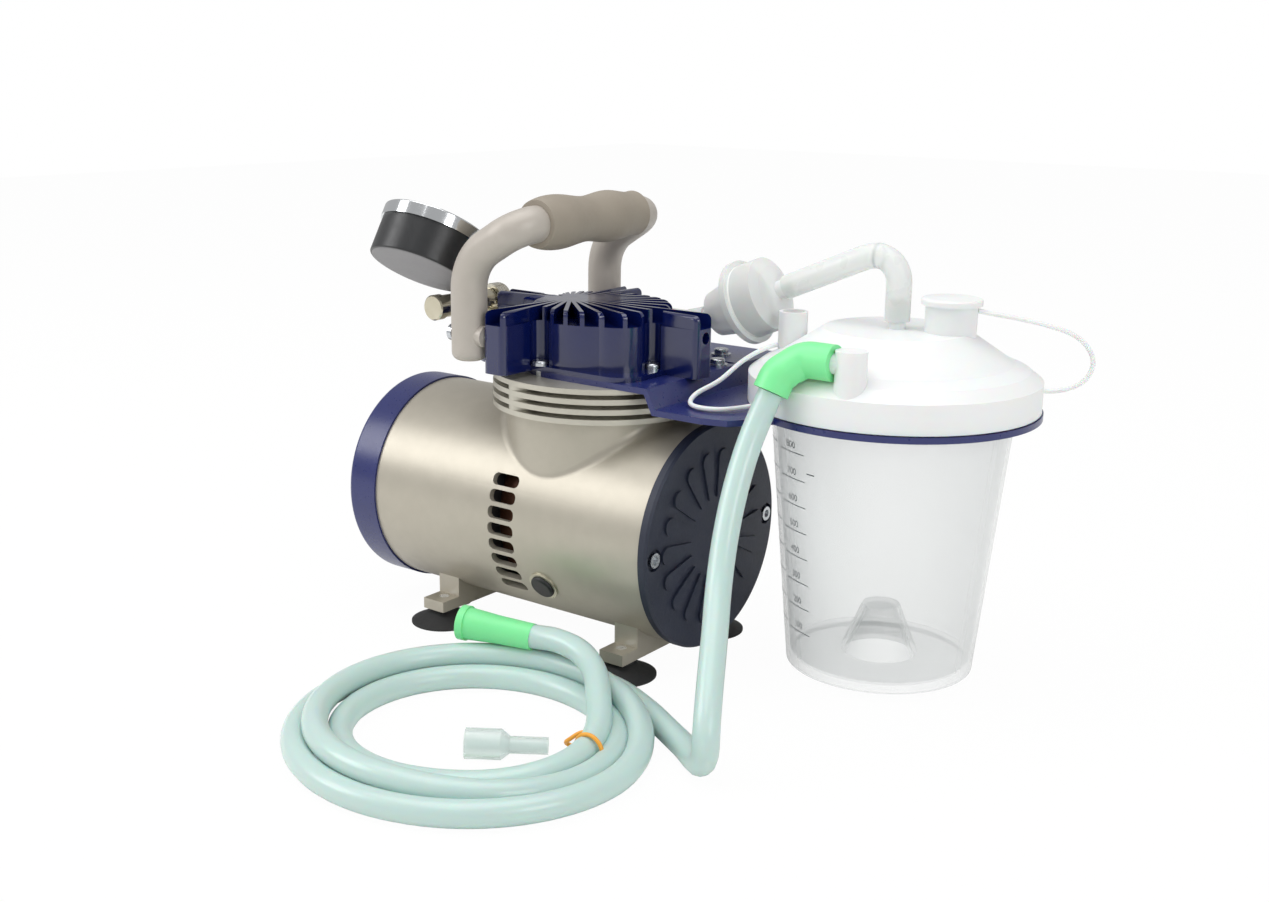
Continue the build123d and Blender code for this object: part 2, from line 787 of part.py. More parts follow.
# Jar bracket
def bracket():
    """Sheet clamped under the head, bent down once and ending in the jar's ring."""
    rise = lower_plate_drop
    far_x = jar_x + ring_outer
    profile = Polyline([
        (neck_x - fin_radius, sheet_top), (fold_x, sheet_top), (fold_x + fold_run, sheet_top - rise),
        (far_x, sheet_top - rise), (far_x, sheet_top - rise - sheet),
        (fold_x + fold_run - sheet / 2, sheet_top - rise - sheet), (fold_x - sheet / 2, sheet_top - sheet),
        (neck_x - fin_radius, sheet_top - sheet),
    ], close=True)
    bend = extrude(Plane.XZ * make_face(profile), ring_outer * 3, both=True)
    far = (jar_x - sqrt(ring_outer ** 2 - (plate_far_y - jar_y) ** 2), plate_far_y)
    arm = make_face(Polyline([
        (neck_x, plate_near_y), (lower_corner_x, plate_near_y), *web_points, (jar_x, jar_y), far,
        (neck_x, plate_far_y),
    ], close=True))
    outline = arm + Pos(jar_x, jar_y) * Circle(ring_outer)
    outline += Pos(neck_x, 0) * Circle(-plate_near_y)
    outline -= Pos(jar_x, jar_y) * Circle(ring_inner)
    outline -= Pos(neck_x, 0) * Circle(valve_plate_radius)
    slot = SlotOverall(bracket_slot_length, bracket_slot_width)
    outline -= Pos(bracket_slot_x + bracket_slot_length / 4, bracket_slot_y) * slot
    for x, y in (bracket_screw_near, bracket_screw_far):
        outline -= Pos(x, y) * Circle(bracket_screw_radius)
    plan = extrude(outline, sheet_top + sheet)
    return (bend & plan) - head_bolt_holes(head_bolt_radius, sheet_top - sheet, sheet_top)


def bracket_washers():
    """Washers under the two bracket screws."""
    rings = []
    for x, y in (bracket_screw_near, bracket_screw_far):
        ring = rod_z(bracket_washer_radius, sheet_top, sheet_top + bracket_washer, x, y)
        rings.append(ring - rod_z(bracket_screw_radius, sheet_top, sheet_top + bracket_washer, x, y))
    return rings


def bracket_screws():
    """Pan head screws of the bracket."""
    screws = []
    for x, y in (bracket_screw_near, bracket_screw_far):
        base = sheet_top + bracket_washer
        head = rod_z(bracket_screw_head, base, base + head_bolt_head_height, x, y)
        head = fillet(head.edges().group_by(Axis.Z)[-1], head_bolt_head_height / 3)
        tip = sheet_top - sheet - bracket_nut_height - bracket_washer
        screws.append(head + rod_z(bracket_screw_radius, tip, base, x, y))
    return screws


def bracket_nuts():
    """Hexagon nuts under the bracket."""
    nuts = []
    for x, y in (bracket_screw_near, bracket_screw_far):
        base = sheet_top - sheet - bracket_nut_height
        nut = extrude(RegularPolygon(bracket_screw_head, 6), bracket_nut_height)
        nuts.append(Pos(x, y, base) * nut - rod_z(bracket_screw_radius, base, sheet_top, x, y))
    return nuts


# Ribbed head cover
def head_outline():
    """Plan of the head: bulge and four arms of unequal length."""
    outline = Pos(neck_x, 0) * Circle(bulge_radius)
    for side in (-1, 1):
        outline += Pos(neck_x - side * corner_bulge_x, side * corner_bulge_y) * Circle(corner_bulge_radius)
    along = front_arm_end - rear_arm_end
    outline += Pos((front_arm_end + rear_arm_end) / 2, 0) * RectangleRounded(along, arm_width, arm_edge_round)
    across = near_arm_reach + far_arm_reach
    middle = (far_arm_reach - near_arm_reach) / 2
    outline += Pos(star_x, middle) * RectangleRounded(arm_width, across, arm_edge_round)
    return outline


def rib_angles():
    """Two ribs along the edges of each arm and an even fan between the arms."""
    offset = (arm_width - rib_thickness) / 2
    reaches = (front_arm_end - star_x, far_arm_reach, star_x - rear_arm_end, near_arm_reach)
    spread = [degrees(atan(offset / reach)) for reach in reaches]
    angles = []
    for index in range(4):
        start = 90 * index + spread[index]
        end = 90 * (index + 1) - spread[(index + 1) % 4]
        step = (end - start) / (ribs_between_arms + 1)
        angles += [start + step * count for count in range(ribs_between_arms + 2)]
    return angles


def head_cover():
    """Star of ribs over the chamber, with a flange and a port in each long arm."""
    top = head_base + head_height
    deck = top - rib_height
    body = extrude(Pos(0, 0, head_base) * head_outline(), deck - head_base)
    flange_middle = (flange_rear_x + flange_front_x) / 2
    flange_length = flange_front_x - flange_rear_x
    flange = Pos(flange_middle, 0) * RectangleRounded(flange_length, -2 * plate_near_y, flange_round)
    body += extrude(Pos(0, 0, head_base) * flange, flange_height)
    crown = extrude(Pos(0, 0, deck) * head_outline(), rib_height)
    crown = fillet(crown.edges().group_by(Axis.Z)[-1], rib_crown)
    reach = front_arm_end - star_x
    rib = block(0, reach, -rib_thickness / 2, rib_thickness / 2, deck, top)
    star = joined([Pos(star_x, 0, 0) * Rot(0, 0, angle) * rib & crown for angle in rib_angles()])
    body += star
    chamber = rod_z(chamber_radius, head_base, head_base + chamber_depth, neck_x)
    wall = block(neck_x - chamber_wall / 2, neck_x + chamber_wall / 2, -chamber_radius, chamber_radius,
                 head_base + gasket, head_base + chamber_depth)
    body -= chamber - wall
    port_z = head_base + port_height
    body -= rod_x(port_radius, front_arm_end - port_depth, front_arm_end, 0, port_z)
    body -= rod_x(port_radius, rear_arm_end, rear_arm_end + port_depth, nipple_y, port_z)
    for y in (handle_near_y, handle_far_y):
        screw_z = handle_bottom + handle_screw_height
        body -= rod_x(handle_screw_radius, star_x - arm_width / 2, star_x, y, screw_z)
    body -= head_bolt_holes(bolt_pocket_radius, head_base + flange_height, top)
    return body - head_bolt_holes(head_bolt_radius, head_base, head_base + flange_height)


def head_screws():
    """Pan head screws through flange, bracket and cylinder into the neck."""
    screws = []
    base = head_base + flange_height
    for x, y in head_bolt_places():
        head = rod_z(head_bolt_head, base, base + head_bolt_head_height, x, y)
        head = fillet(head.edges().group_by(Axis.Z)[-1], head_bolt_head_height / 2)
        screws.append(head + rod_z(head_bolt_radius, base - head_bolt_length, base, x, y))
    return screws


# Handle
def handle_path():
    """Centre line of the bent tube, from one foot to the other."""
    near = handle_near_y
    far = handle_far_y
    points = [
        (handle_leg_x, near, handle_bottom), (handle_leg_x, near, handle_knee), (handle_grip_x, near, handle_top),
        (handle_grip_x, handle_corner_y, handle_top), (handle_leg_x, far, handle_knee),
        (handle_leg_x, far, handle_bottom),
    ]
    return FilletPolyline(points, radius=[handle_knee_bend, handle_bend, handle_bend, handle_knee_bend])


def handle_tube():
    """Painted steel tube with closed round ends and a welded pad against each arm."""
    path = handle_path()
    body = sweep(Plane(path @ 0, z_dir=path % 0) * Circle(handle_tube_radius), path)
    body = fillet(body.edges().group_by(Axis.Z)[0], handle_end_round)
    screw_z = handle_bottom + handle_screw_height
    for y in (handle_near_y, handle_far_y):
        body += rod_x(handle_pad_radius, handle_leg_x, star_x - arm_width / 2, y, screw_z)
        body -= rod_x(handle_screw_radius, handle_leg_x - 2 * handle_tube_radius, star_x, y, screw_z)
    return body


def handle_grip():
    """Soft grip with finger waves, slid over the straight of the tube."""
    low = handle_tube_radius + running_gap
    near = -grip_near_length
    far = grip_far_length
    wave = Spline([(near, grip_end_radius), (-grip_wave, grip_radius), (0, grip_waist),
                   (grip_wave, grip_radius), (2 * grip_wave, grip_waist), (far, grip_end_radius)])
    edge = Polyline([(far, grip_end_radius), (far, low), (near, low), (near, grip_end_radius)])
    body = revolve(make_face([wave, edge]), Axis.X)
    return Pos(handle_grip_x, grip_middle, handle_top) * Rot(0, 0, 90) * body


def handle_screws():
    """Screws through the tube's feet into the arms."""
    screws = []
    for y in (handle_near_y, handle_far_y):
        z = handle_bottom + handle_screw_height
        x0 = handle_leg_x - handle_tube_radius
        shank = rod_x(handle_screw_radius, x0, star_x, y, z)
        head = rod_x(head_bolt_head, x0 - head_bolt_head_height, x0, y, z)
        screws.append(shank + head)
    return screws


# Regulator and gauge
def regulator_body():
    """Turned valve body across the pump with a side nipple into the head."""
    body = rod_y(regulator_radius, regulator_near_y, regulator_far_y, regulator_x, regulator_height)
    port_z = head_base + port_height
    body += rod_z(nipple_radius, port_z - nipple_radius, regulator_height, nipple_x, nipple_y)
    body += rod_x(nipple_bar_radius, nipple_x, rear_arm_end, nipple_y, port_z)
    body += rod_x(port_radius, rear_arm_end, rear_arm_end + port_depth / 2, nipple_y, port_z)
    return body


def regulator_cap():
    """Knurled cap on the near end with a groove before the body."""
    y0 = regulator_near_y - regulator_cap_length
    body = rod_y(regulator_cap_radius, y0, regulator_near_y, regulator_x, regulator_height)
    return chamfer(body.edges().sort_by(Axis.Y)[0], regulator_cap_length / 8)


def regulator_knob():
    """Domed knob that sets the vacuum, on the user's side."""
    y0 = regulator_far_y + open_gap
    body = rod_y(regulator_knob_radius, y0, y0 + regulator_knob_length, regulator_x, regulator_height)
    body = fillet(body.edges().sort_by(Axis.Y)[-1], regulator_knob_length / 3)
    for index in range(12):
        groove = rod_y(gasket / 2, y0, y0 + regulator_knob_length, regulator_knob_radius, 0)
        body -= Pos(regulator_x, 0, regulator_height) * Rot(0, index * 30, 0) * groove
    return body


def gauge_frame():
    """Place of the gauge: its axis leans from upright towards the user."""
    return Pos(regulator_x, gauge_y, gauge_height) * Rot(-gauge_tilt, 0, 0)


def gauge_case():
    """Black pressed case, open at the dial."""
    half = gauge_depth / 2
    body = rod_z(gauge_radius, -half, half)
    body = fillet(body.edges().group_by(Axis.Z)[0], gauge_wall / 2)
    body -= rod_z(gauge_radius - gauge_wall, half - bezel_height - dial_thickness, half)
    return gauge_frame() * body


def gauge_bezel():
    """Bright ring that holds the window."""
    half = gauge_depth / 2
    body = rod_z(bezel_radius, half - bezel_height, half + lens_thickness)
    body = fillet(body.edges().group_by(Axis.Z)[-1], lens_thickness / 2)
    body -= rod_z(gauge_radius + running_gap, half - bezel_height, half)
    body -= rod_z(bezel_window, half - bezel_height, half + 2 * lens_thickness)
    return gauge_frame() * body


def gauge_lens():
    """Clear window under the bezel."""
    half = gauge_depth / 2
    return gauge_frame() * rod_z(gauge_radius - gauge_wall - running_gap, half - lens_thickness, half)


def gauge_dial():
    """Dial plate at the bottom of the case's opening."""
    floor = gauge_depth / 2 - bezel_height - dial_thickness
    body = rod_z(gauge_radius - gauge_wall - running_gap, floor, floor + dial_thickness)
    pin = rod_z(pointer_pin_radius, floor + dial_thickness, floor + dial_thickness + pointer_thickness * 3)
    return gauge_frame() * (body + pin)


def gauge_pointer():
    """Pointer on its pin."""
    floor = gauge_depth / 2 - bezel_height + open_gap
    hub = rod_z(pointer_hub_radius, floor, floor + pointer_thickness)
    hand = block(-pointer_length, pointer_length / 3, -pointer_width / 2, pointer_width / 2,
                 floor, floor + pointer_thickness)
    body = hub + hand - rod_z(pointer_pin_radius + running_gap, floor, floor + pointer_thickness)
    return gauge_frame() * Rot(0, 0, 45) * body


def gauge_stem():
    """Brass stem from the gauge's lower side to the regulator."""
    start = gauge_radius - gauge_wall / 2
    stem = rod_y(gauge_stem_radius, gauge_radius, gauge_radius + gauge_stem_square)
    square = Box(gauge_stem_square, gauge_stem_square / 2, gauge_stem_square)
    stem += Pos(0, gauge_radius + gauge_stem_square / 4, 0) * square
    stem = gauge_frame() * stem
    reach = gauge_radius + gauge_stem_square
    knee_y = gauge_y + reach * cos(radians(gauge_tilt))
    knee_z = gauge_height - reach * sin(radians(gauge_tilt))
    ball = Pos(regulator_x, knee_y, knee_z) * Sphere(gauge_stem_radius)
    drop = rod_z(gauge_stem_radius, regulator_height, knee_z, regulator_x, knee_y)
    body = stem + ball + drop
    return body - rod_y(regulator_radius, regulator_near_y, regulator_far_y, regulator_x, regulator_height)


# Jar and lid
def collection_jar():
    """Tapered clear jar with a raised cone in its floor and a rim on the ring."""
    inner_foot = jar_foot_radius - jar_wall
    inner_neck = jar_neck_radius - jar_wall
    floor = jar_bottom + jar_floor_lift
    return turned([
        (0, jar_bottom + punt_height), (punt_top_radius, jar_bottom + punt_height),
        (punt_radius, floor), (jar_foot_radius - jar_floor_lift, floor), (jar_foot_radius - jar_wall, jar_bottom),
        (jar_foot_radius, jar_bottom), (jar_neck_radius, ring_top), (jar_rim_radius, ring_top),
        (jar_rim_radius, ring_top + jar_rim_height), (inner_neck, ring_top + jar_rim_height),
        (inner_foot, floor + jar_wall), (punt_radius + jar_wall, floor + jar_wall),
        (punt_top_radius + jar_wall, jar_bottom + punt_height + jar_wall), (0, jar_bottom + punt_height + jar_wall),
    ], jar_x, jar_y)


def lid_height(radius):
    """Height of the dome's outer face at a radius."""
    share = (lid_shoulder_radius - radius) / (lid_shoulder_radius - lid_top_radius)
    return lid_shoulder_height + share * (lid_top - lid_shoulder_height)


def lid_shell():
    """Skirt round the jar's rim, seat on the rim and the dome."""
    skirt_base = ring_top + lid_skirt_gap
    skirt_inner = jar_rim_radius + open_gap
    return turned([
        (lid_seat_inner, lid_base), (skirt_inner, lid_base), (skirt_inner, skirt_base), (lid_radius, skirt_base),
        (lid_radius, lid_skirt_top), (lid_shoulder_radius, lid_shoulder_height), (lid_dome_radius, lid_dome_height),
        (lid_top_radius, lid_top), (0, lid_top), (0, lid_top - lid_wall),
        (lid_top_radius - lid_wall / 2, lid_top - lid_wall), (lid_dome_radius - lid_wall / 2, lid_dome_height - lid_wall),
        (lid_seat_inner, lid_shoulder_height - lid_wall),
    ], jar_x, jar_y)


def lid():
    """Domed snap lid with its ports and the float's cage."""
    under = lid_top - lid_wall
    stem = rod_z(stem_radius, under, stem_top, jar_x, jar_y)
    wide_x = jar_x + wide_port_x
    wide_y = jar_y + wide_port_y
    wide = rod_z(wide_port_radius, under - lid_wall, wide_port_top, wide_x, wide_y)
    side_x = jar_x + side_port_x
    side_y = jar_y + side_port_y
    side_base = lid_height(sqrt(side_port_x ** 2 + side_port_y ** 2)) - 2 * lid_wall
    side = rod_z(side_port_radius, side_base, side_port_top, side_x, side_y)
    stub = rod_x(inlet_radius, inlet_end(), inlet_x, inlet_y, inlet_height)
    boss_low = lid_skirt_top - lid_wall
    boss = rod_z(inlet_block / 2, boss_low, inlet_block_top, inlet_x, inlet_block_y)
    cage = rod_z(cage_radius, lid_top - cage_depth, under, jar_x, jar_y)
    cage -= rod_z(cage_radius - cage_wall, lid_top - cage_depth, under, jar_x, jar_y)
    body = lid_shell() + stem + wide + side + stub + boss + cage
    body -= rod_z(stem_bore, under - lid_wall, stem_top, jar_x, jar_y)
    body -= rod_z(wide_port_radius - lid_wall, lid_shoulder_height, wide_port_top, wide_x, wide_y)
    body -= rod_z(side_port_bore, side_base - 2 * lid_wall, side_port_top, side_x, side_y)
    body -= rod_x(inlet_bore, inlet_end(), inlet_x, inlet_y, inlet_height)
    body -= rod_z(inlet_bore, boss_low - lid_wall, inlet_height, inlet_x, inlet_block_y)
    return body


def float_base():
    """Lowest point of the float at rest."""
    return lid_top - cage_depth + cage_wall + open_gap


def float_valve():
    """Hollow float that shuts the stem when the jar is full."""
    z0 = float_base()
    body = rod_z(float_radius, z0, z0 + float_length, jar_x, jar_y)
    body = chamfer(body.edges().group_by(Axis.Z)[-1], float_radius / 3)
    return body


def float_stop():
    """Slotted washer clipped in the cage's mouth under the float."""
    z0 = lid_top - cage_depth
    ring = rod_z(cage_radius - cage_wall - seat_gap, z0, z0 + cage_wall, jar_x, jar_y)
    return ring - rod_z(float_radius / 2, z0, z0 + cage_wall, jar_x, jar_y)


def wide_port_cap():
    """Snap cap of the wide port."""
    z0 = wide_port_top + seat_gap
    x = jar_x + wide_port_x
    y = jar_y + wide_port_y
    body = rod_z(wide_cap_radius, z0, z0 + wide_cap_height, x, y)
    body = fillet(body.edges().group_by(Axis.Z)[-1], wide_cap_height / 3)
    plug = rod_z(wide_port_radius - lid_wall - running_gap, z0 - wide_cap_height, z0, x, y)
    return body + plug


def strap(route):
    """Thin round strap through points given from the jar's axis."""
    path = Spline([(jar_x + x, jar_y + y, z) for x, y, z in route])
    return sweep(Plane(path @ 0, z_dir=path % 0) * Circle(tether_radius), path)


def cap_tethers():
    """Two straps: from the wide port and from the side port to the skirt."""
    return [strap(wide_tether), strap(side_tether)]


# Vacuum line
def line_axis():
    """Unit vector from the filter's inlet to its outlet, in the plane of the jar's axis."""
    dx = filter_outlet_x - filter_inlet_x
    dz = filter_outlet_height - filter_inlet_height
    away = sqrt(dx * dx + dz * dz)
    return (dx / away, dz / away, away)


def line_elbow():
    """Soft tube from the lid's stem over to the filter."""
    ux, uz, away = line_axis()
    low = stem_top - line_drop
    start = (jar_x, jar_y, low)
    corner = (jar_x, jar_y, line_top)
    knee_x = filter_inlet_x - ux * (line_top - filter_inlet_height) / (-uz)
    end = (filter_inlet_x - ux * filter_neck_radius, jar_y, filter_inlet_height - uz * filter_neck_radius)
    path = FilletPolyline([start, corner, (knee_x, jar_y, line_top), end], radius=[line_radius * 2, line_radius * 4])
    body = sweep(Plane(path @ 0, z_dir=path % 0) * Circle(line_radius), path)
    return body - rod_z(stem_radius + running_gap, low, stem_top + open_gap, jar_x, jar_y)


def filter_frame():
    """Place of the filter: local Z runs from the inlet to the outlet."""
    ux, uz, away = line_axis()
    return Plane((filter_inlet_x, jar_y, filter_inlet_height), x_dir=(0, 1, 0), z_dir=(ux, 0, uz))


def filter_inlet_shell():
    """Half of the filter capsule that takes the tube."""
    ux, uz, away = line_axis()
    mid = away * 0.42
    outline = make_face(Polyline([
        (0, 0, -filter_neck_radius), (filter_neck_radius, 0, -filter_neck_radius), (filter_neck_radius, 0, 0),
        (filter_radius * 0.72, 0, filter_flange), (filter_radius, 0, filter_flange * 2),
        (filter_radius, 0, mid), (0, 0, mid),
    ], close=True))
    return filter_frame().location * revolve(outline, Axis.Z)


def filter_outlet_shell():
    """Other half, stepped down to the outlet."""
    ux, uz, away = line_axis()
    mid = away * 0.42 + filter_flange_thickness / 3
    outline = make_face(Polyline([
        (0, 0, mid), (filter_radius + filter_flange, 0, mid), (filter_radius + filter_flange, 0, mid + filter_flange_thickness),
        (filter_radius * 0.8, 0, mid + filter_flange_thickness), (filter_radius * 0.62, 0, away - filter_flange),
        (filter_neck_radius, 0, away - filter_flange), (filter_neck_radius, 0, away + filter_neck_radius),
        (0, 0, away + filter_neck_radius),
    ], close=True))
    return filter_frame().location * revolve(outline, Axis.Z)


def filter_membrane():
    """Disc that stops liquid, clamped between the two shells."""
    ux, uz, away = line_axis()
    mid = away * 0.42
    disc = rod_z(filter_radius, mid, mid + filter_flange_thickness / 3)
    return filter_frame().location * disc


def pump_hose():
    """Short soft tube from the filter to the pump's port."""
    ux, uz, away = line_axis()
    start = (filter_outlet_x + ux * filter_neck_radius, jar_y, filter_outlet_height + uz * filter_neck_radius)
    second = (pump_port_x + line_radius * 2, jar_y, pump_port_height)
    end = (pump_port_x + open_gap, jar_y, pump_port_height)
    path = FilletPolyline([start, second, end], radius=[line_radius * 2])
    return sweep(Plane(path @ 0, z_dir=path % 0) * Circle(line_radius), path)


def pump_port():
    """Nickel elbow on the far side of the head that the hose meets."""
    body = rod_x(pump_port_radius, star_x + arm_width / 2, pump_port_x, jar_y, pump_port_height)
    return body


# Suction tube
def inlet_end():
    """Tip of the lid's suction stub."""
    return inlet_x - inlet_length - inlet_block / 2


def patient_connector():
    """Green elbow sleeve from the stub down to the tube."""
    x1 = inlet_x - inlet_block / 2 - running_gap
    first = Vector(tube_route[0])
    second = Vector(tube_route[1])
    down = (second - first).normalized()
    mouth = first
    knee = (inlet_end() - connector_knee, inlet_y, inlet_height)
    turn = first - down * connector_radius
    points = [(x1, inlet_y, inlet_height), knee, tuple(turn), tuple(mouth)]
    path = FilletPolyline(points, radius=[connector_bend, connector_bend])
    body = sweep(Plane(path @ 0, z_dir=path % 0) * Circle(connector_radius), path)
    body -= rod_z(lid_radius + running_gap, ring_top, lid_shoulder_height, jar_x, jar_y)
    return body - rod_x(inlet_radius + running_gap, inlet_end() - open_gap, x1, inlet_y, inlet_height)


def cord_tube(points, radius):
    """Tube along straight runs joined by the largest tangent arcs."""
    radii = []
    for index in range(1, len(points) - 1):
        before = Vector(points[index]) - Vector(points[index - 1])
        after = Vector(points[index + 1]) - Vector(points[index])
        turn = before.get_angle(after)
        shorter = min(before.length, after.length)
        radii.append(0.45 * shorter / tan(radians(turn / 2)))
    path = FilletPolyline(points, radius=radii)
    body = sweep(Plane(path @ 0, z_dir=path % 0) * Circle(radius), path)
    print("arc radii", [round(r, 1) for r in radii])
    print("tube volume", round(body.volume, 1), "section times length", round(pi * radius ** 2 * path.length, 1))
    return body


def suction_tube():
    """The stretch from the lid's connector down to the coil."""
    first = Vector(tube_route[0])
    down = (Vector(tube_route[1]) - first).normalized()
    start = first + down * open_gap
    return cord_tube([tuple(start)] + tube_route[1:], tube_radius)


def tube_coil():
    """Closed solid of the coil's outer shape on the table, with the tail up to the funnel."""
    plan = Ellipse(coil_long, coil_short) - Ellipse(coil_long - coil_width, coil_short - coil_width)
    ring = extrude(Pos(coil_x, coil_y, coil_lift) * plan, coil_height - coil_lift)
    ring = fillet(ring.edges(), coil_round)
    path = Spline(coil_tail)
    tail = sweep(Plane(path @ 0, z_dir=path % 0) * Circle(tube_radius), path)
    return ring + tail


def between(start, end, outline):
    """Solid turned about the line from start to end; the outline is (radius, distance)."""
    way = Vector(end) - Vector(start)
    body = revolve(make_face(Polyline([(r, 0, z) for r, z in outline], close=True)), Axis.Z)
    return Plane(Vector(start), z_dir=way).location * body


def far_connector():
    """Green funnel at the tube's loose end, its mouth open."""
    length = (Vector(funnel_to) - Vector(funnel_from)).length
    mouth = funnel_mouth_radius - connector_mouth_wall
    return between(funnel_from, funnel_to, [
        (mouth, 0), (funnel_mouth_radius, 0), (funnel_mouth_radius, funnel_mouth_length),
        (funnel_neck_radius + 1, funnel_mouth_length), (funnel_neck_radius, length / 2), (funnel_end_radius, length),
        (inlet_bore, length), (inlet_bore, funnel_socket),
    ])


def catheter_adapter():
    """Clear stepped adapter lying inside the coil."""
    length = (Vector(adapter_to) - Vector(adapter_from)).length
    return between(adapter_from, adapter_to, [
        (adapter_bore, 0), (adapter_barrel_radius, 0), (adapter_barrel_radius, adapter_barrel_length),
        (adapter_neck_radius, adapter_barrel_length + adapter_neck_radius), (adapter_neck_radius, length),
        (adapter_bore, length),
    ])


def tube_tie():
    """Wire tie round the inner turn with its twisted tail."""
    ring = Pos(*tie_centre) * Rot(90, 0, tie_turn) * Torus(tie_ring, tie_radius)
    path = Spline(tie_tail)
    tail = sweep(Plane(path @ 0, z_dir=path % 0) * Circle(tie_radius), path)
    return [ring, tail]


def switch_box():
    """Flat moulding on the far side of the tube, with pockets for switch and inlet."""
    x1 = switch_box_x + switch_box_length
    half = switch_box_height / 2
    body = block(switch_box_x, x1, housing_radius / 2, switch_box_reach, motor_height - half, motor_height + half)
    body = fillet(body.edges().filter_by(Axis.Y), plate_corner / 3)
    body -= rod_x(housing_radius, switch_box_x, x1, 0, motor_height)
    body -= block(rocker_x - rocker_length / 2, rocker_x + rocker_length / 2,
                  switch_box_reach - inlet_socket_depth, switch_box_reach,
                  motor_height - rocker_width / 2, motor_height + rocker_width / 2)
    body -= block(inlet_socket_x - inlet_socket_length / 2, inlet_socket_x + inlet_socket_length / 2,
                  switch_box_reach - inlet_socket_depth, switch_box_reach,
                  motor_height - inlet_socket_width / 2, motor_height + inlet_socket_width / 2)
    return body


def rocker_switch():
    """Rocker that tilts about an axis along X."""
    gap = open_gap
    half = rocker_width / 2 - gap
    low = switch_box_reach - inlet_socket_depth / 2
    top = switch_box_reach + rocker_rise
    outline = Polyline([
        (rocker_x, low, motor_height - half + gap), (rocker_x, switch_box_reach + rocker_rise / 4, motor_height - half + gap),
        (rocker_x, switch_box_reach + rocker_rise / 2, motor_height), (rocker_x, top, motor_height + half - gap),
        (rocker_x, low, motor_height + half - gap),
    ], close=True)
    return extrude(make_face(outline), rocker_length / 2 - gap, dir=(1, 0, 0), both=True)


def power_inlet_pins():
    """Three flat pins of the mains inlet."""
    pins = []
    for x, z in ((0, 5.0), (-4.5, -3.5), (4.5, -3.5)):
        pins.append(block(inlet_socket_x + x - 1.0, inlet_socket_x + x + 1.0,
                          switch_box_reach - inlet_socket_depth, switch_box_reach - 1.0,
                          motor_height + z - 2.0, motor_height + z + 2.0))
    return pins


nodes = {
    "motor_housing": motor_housing(),
    "hole_plug": hole_plug(),
    "plug_rim": plug_rim(),
    "rear_cover": rear_cover(),
    "front_cover": front_cover(),
    "cover_screws": cover_screws(),
    "base_rails": [rail(rail_rear_x), rail(rail_front_x)],
    "base_screws": rail_screws() + foot_studs(),
    "suction_feet": suction_feet(),
    "shaft_bearings": [bearing(rear_bearing_x()), bearing(housing_front_x - bearing_width)],
    "motor_shaft": motor_shaft(),
    "rotor_core": rotor_core(),
    "stator_core": stator_core(),
    "stator_windings": stator_windings(),
    "cooling_fan": cooling_fan(),
    "crank": crank(),
    "crank_bearing": crank_bearing(),
    "connecting_rod": connecting_rod(),
    "piston_cup": piston_cup(),
    "finned_cylinder": finned_cylinder(),
    "valve_plate": valve_plate(),
    "reed_valves": reed_valves(),
    "bracket": bracket(),
    "bracket_washers": bracket_washers() + bracket_nuts(),
    "bracket_screws": bracket_screws(),
    "head_cover": head_cover(),
    "head_screws": head_screws(),
    "handle_tube": handle_tube(),
    "handle_grip": handle_grip(),
    "handle_screws": handle_screws(),
    "regulator_body": regulator_body(),
    "regulator_cap": regulator_cap(),
    "regulator_knob": regulator_knob(),
    "gauge_stem": gauge_stem(),
    "gauge_case": gauge_case(),
    "gauge_bezel": gauge_bezel(),
    "gauge_lens": gauge_lens(),
    "gauge_dial": gauge_dial(),
    "gauge_pointer": gauge_pointer(),
    "switch_box": switch_box(),
    "rocker_switch": rocker_switch(),
    "power_inlet_pins": power_inlet_pins(),
    "pump_port": pump_port(),
    "collection_jar": collection_jar(),
    "lid": lid(),
    "cap_tethers": cap_tethers(),
    "float_valve": float_valve(),
    "float_stop": float_stop(),
    "wide_port_cap": wide_port_cap(),
    "line_elbow": line_elbow(),
    "filter_inlet_shell": filter_inlet_shell(),
    "filter_outlet_shell": filter_outlet_shell(),
    "filter_membrane": filter_membrane(),
    "pump_hose": pump_hose(),
    "patient_connector": patient_connector(),
    "suction_tube": suction_tube(),
    "tube_coil": tube_coil(),
    "far_connector": far_connector(),
    "catheter_adapter": catheter_adapter(),
    "tube_tie": tube_tie(),
}
loose_nodes = ("suction_tube", "tube_coil", "far_connector", "catheter_adapter", "tube_tie")


def solids_of(shape):
    """Closed solids of a piece or of a list of equal pieces."""
    pieces = shape if isinstance(shape, list) else [shape]
    return [solid for piece in pieces for solid in piece.solids()]


def to_origin(groups):
    """Move that puts the middle of the pump and jar, at table height, on the origin."""
    boxes = [solid.bounding_box() for node, group in groups.items() if node not in loose_nodes for solid in group]
    middle_x = (min(box.min.X for box in boxes) + max(box.max.X for box in boxes)) / 2
    middle_y = (min(box.min.Y for box in boxes) + max(box.max.Y for box in boxes)) / 2
    low = min(box.min.Z for box in boxes)
    print("origin", round(middle_x, 4), round(middle_y, 4), round(low, 4))
    return Pos(-middle_x, -middle_y, -low)


os.makedirs("parts", exist_ok=True)
groups = {node: solids_of(shape) for node, shape in nodes.items()}
shift = to_origin(groups)
for node, group in groups.items():
    moved = [shift * solid for solid in group]
    export_step(Compound(children=moved), os.path.join("parts", node + ".step"))
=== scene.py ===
import bpy
from math import cos, sin, pi, radians
from mathutils import Matrix, Vector


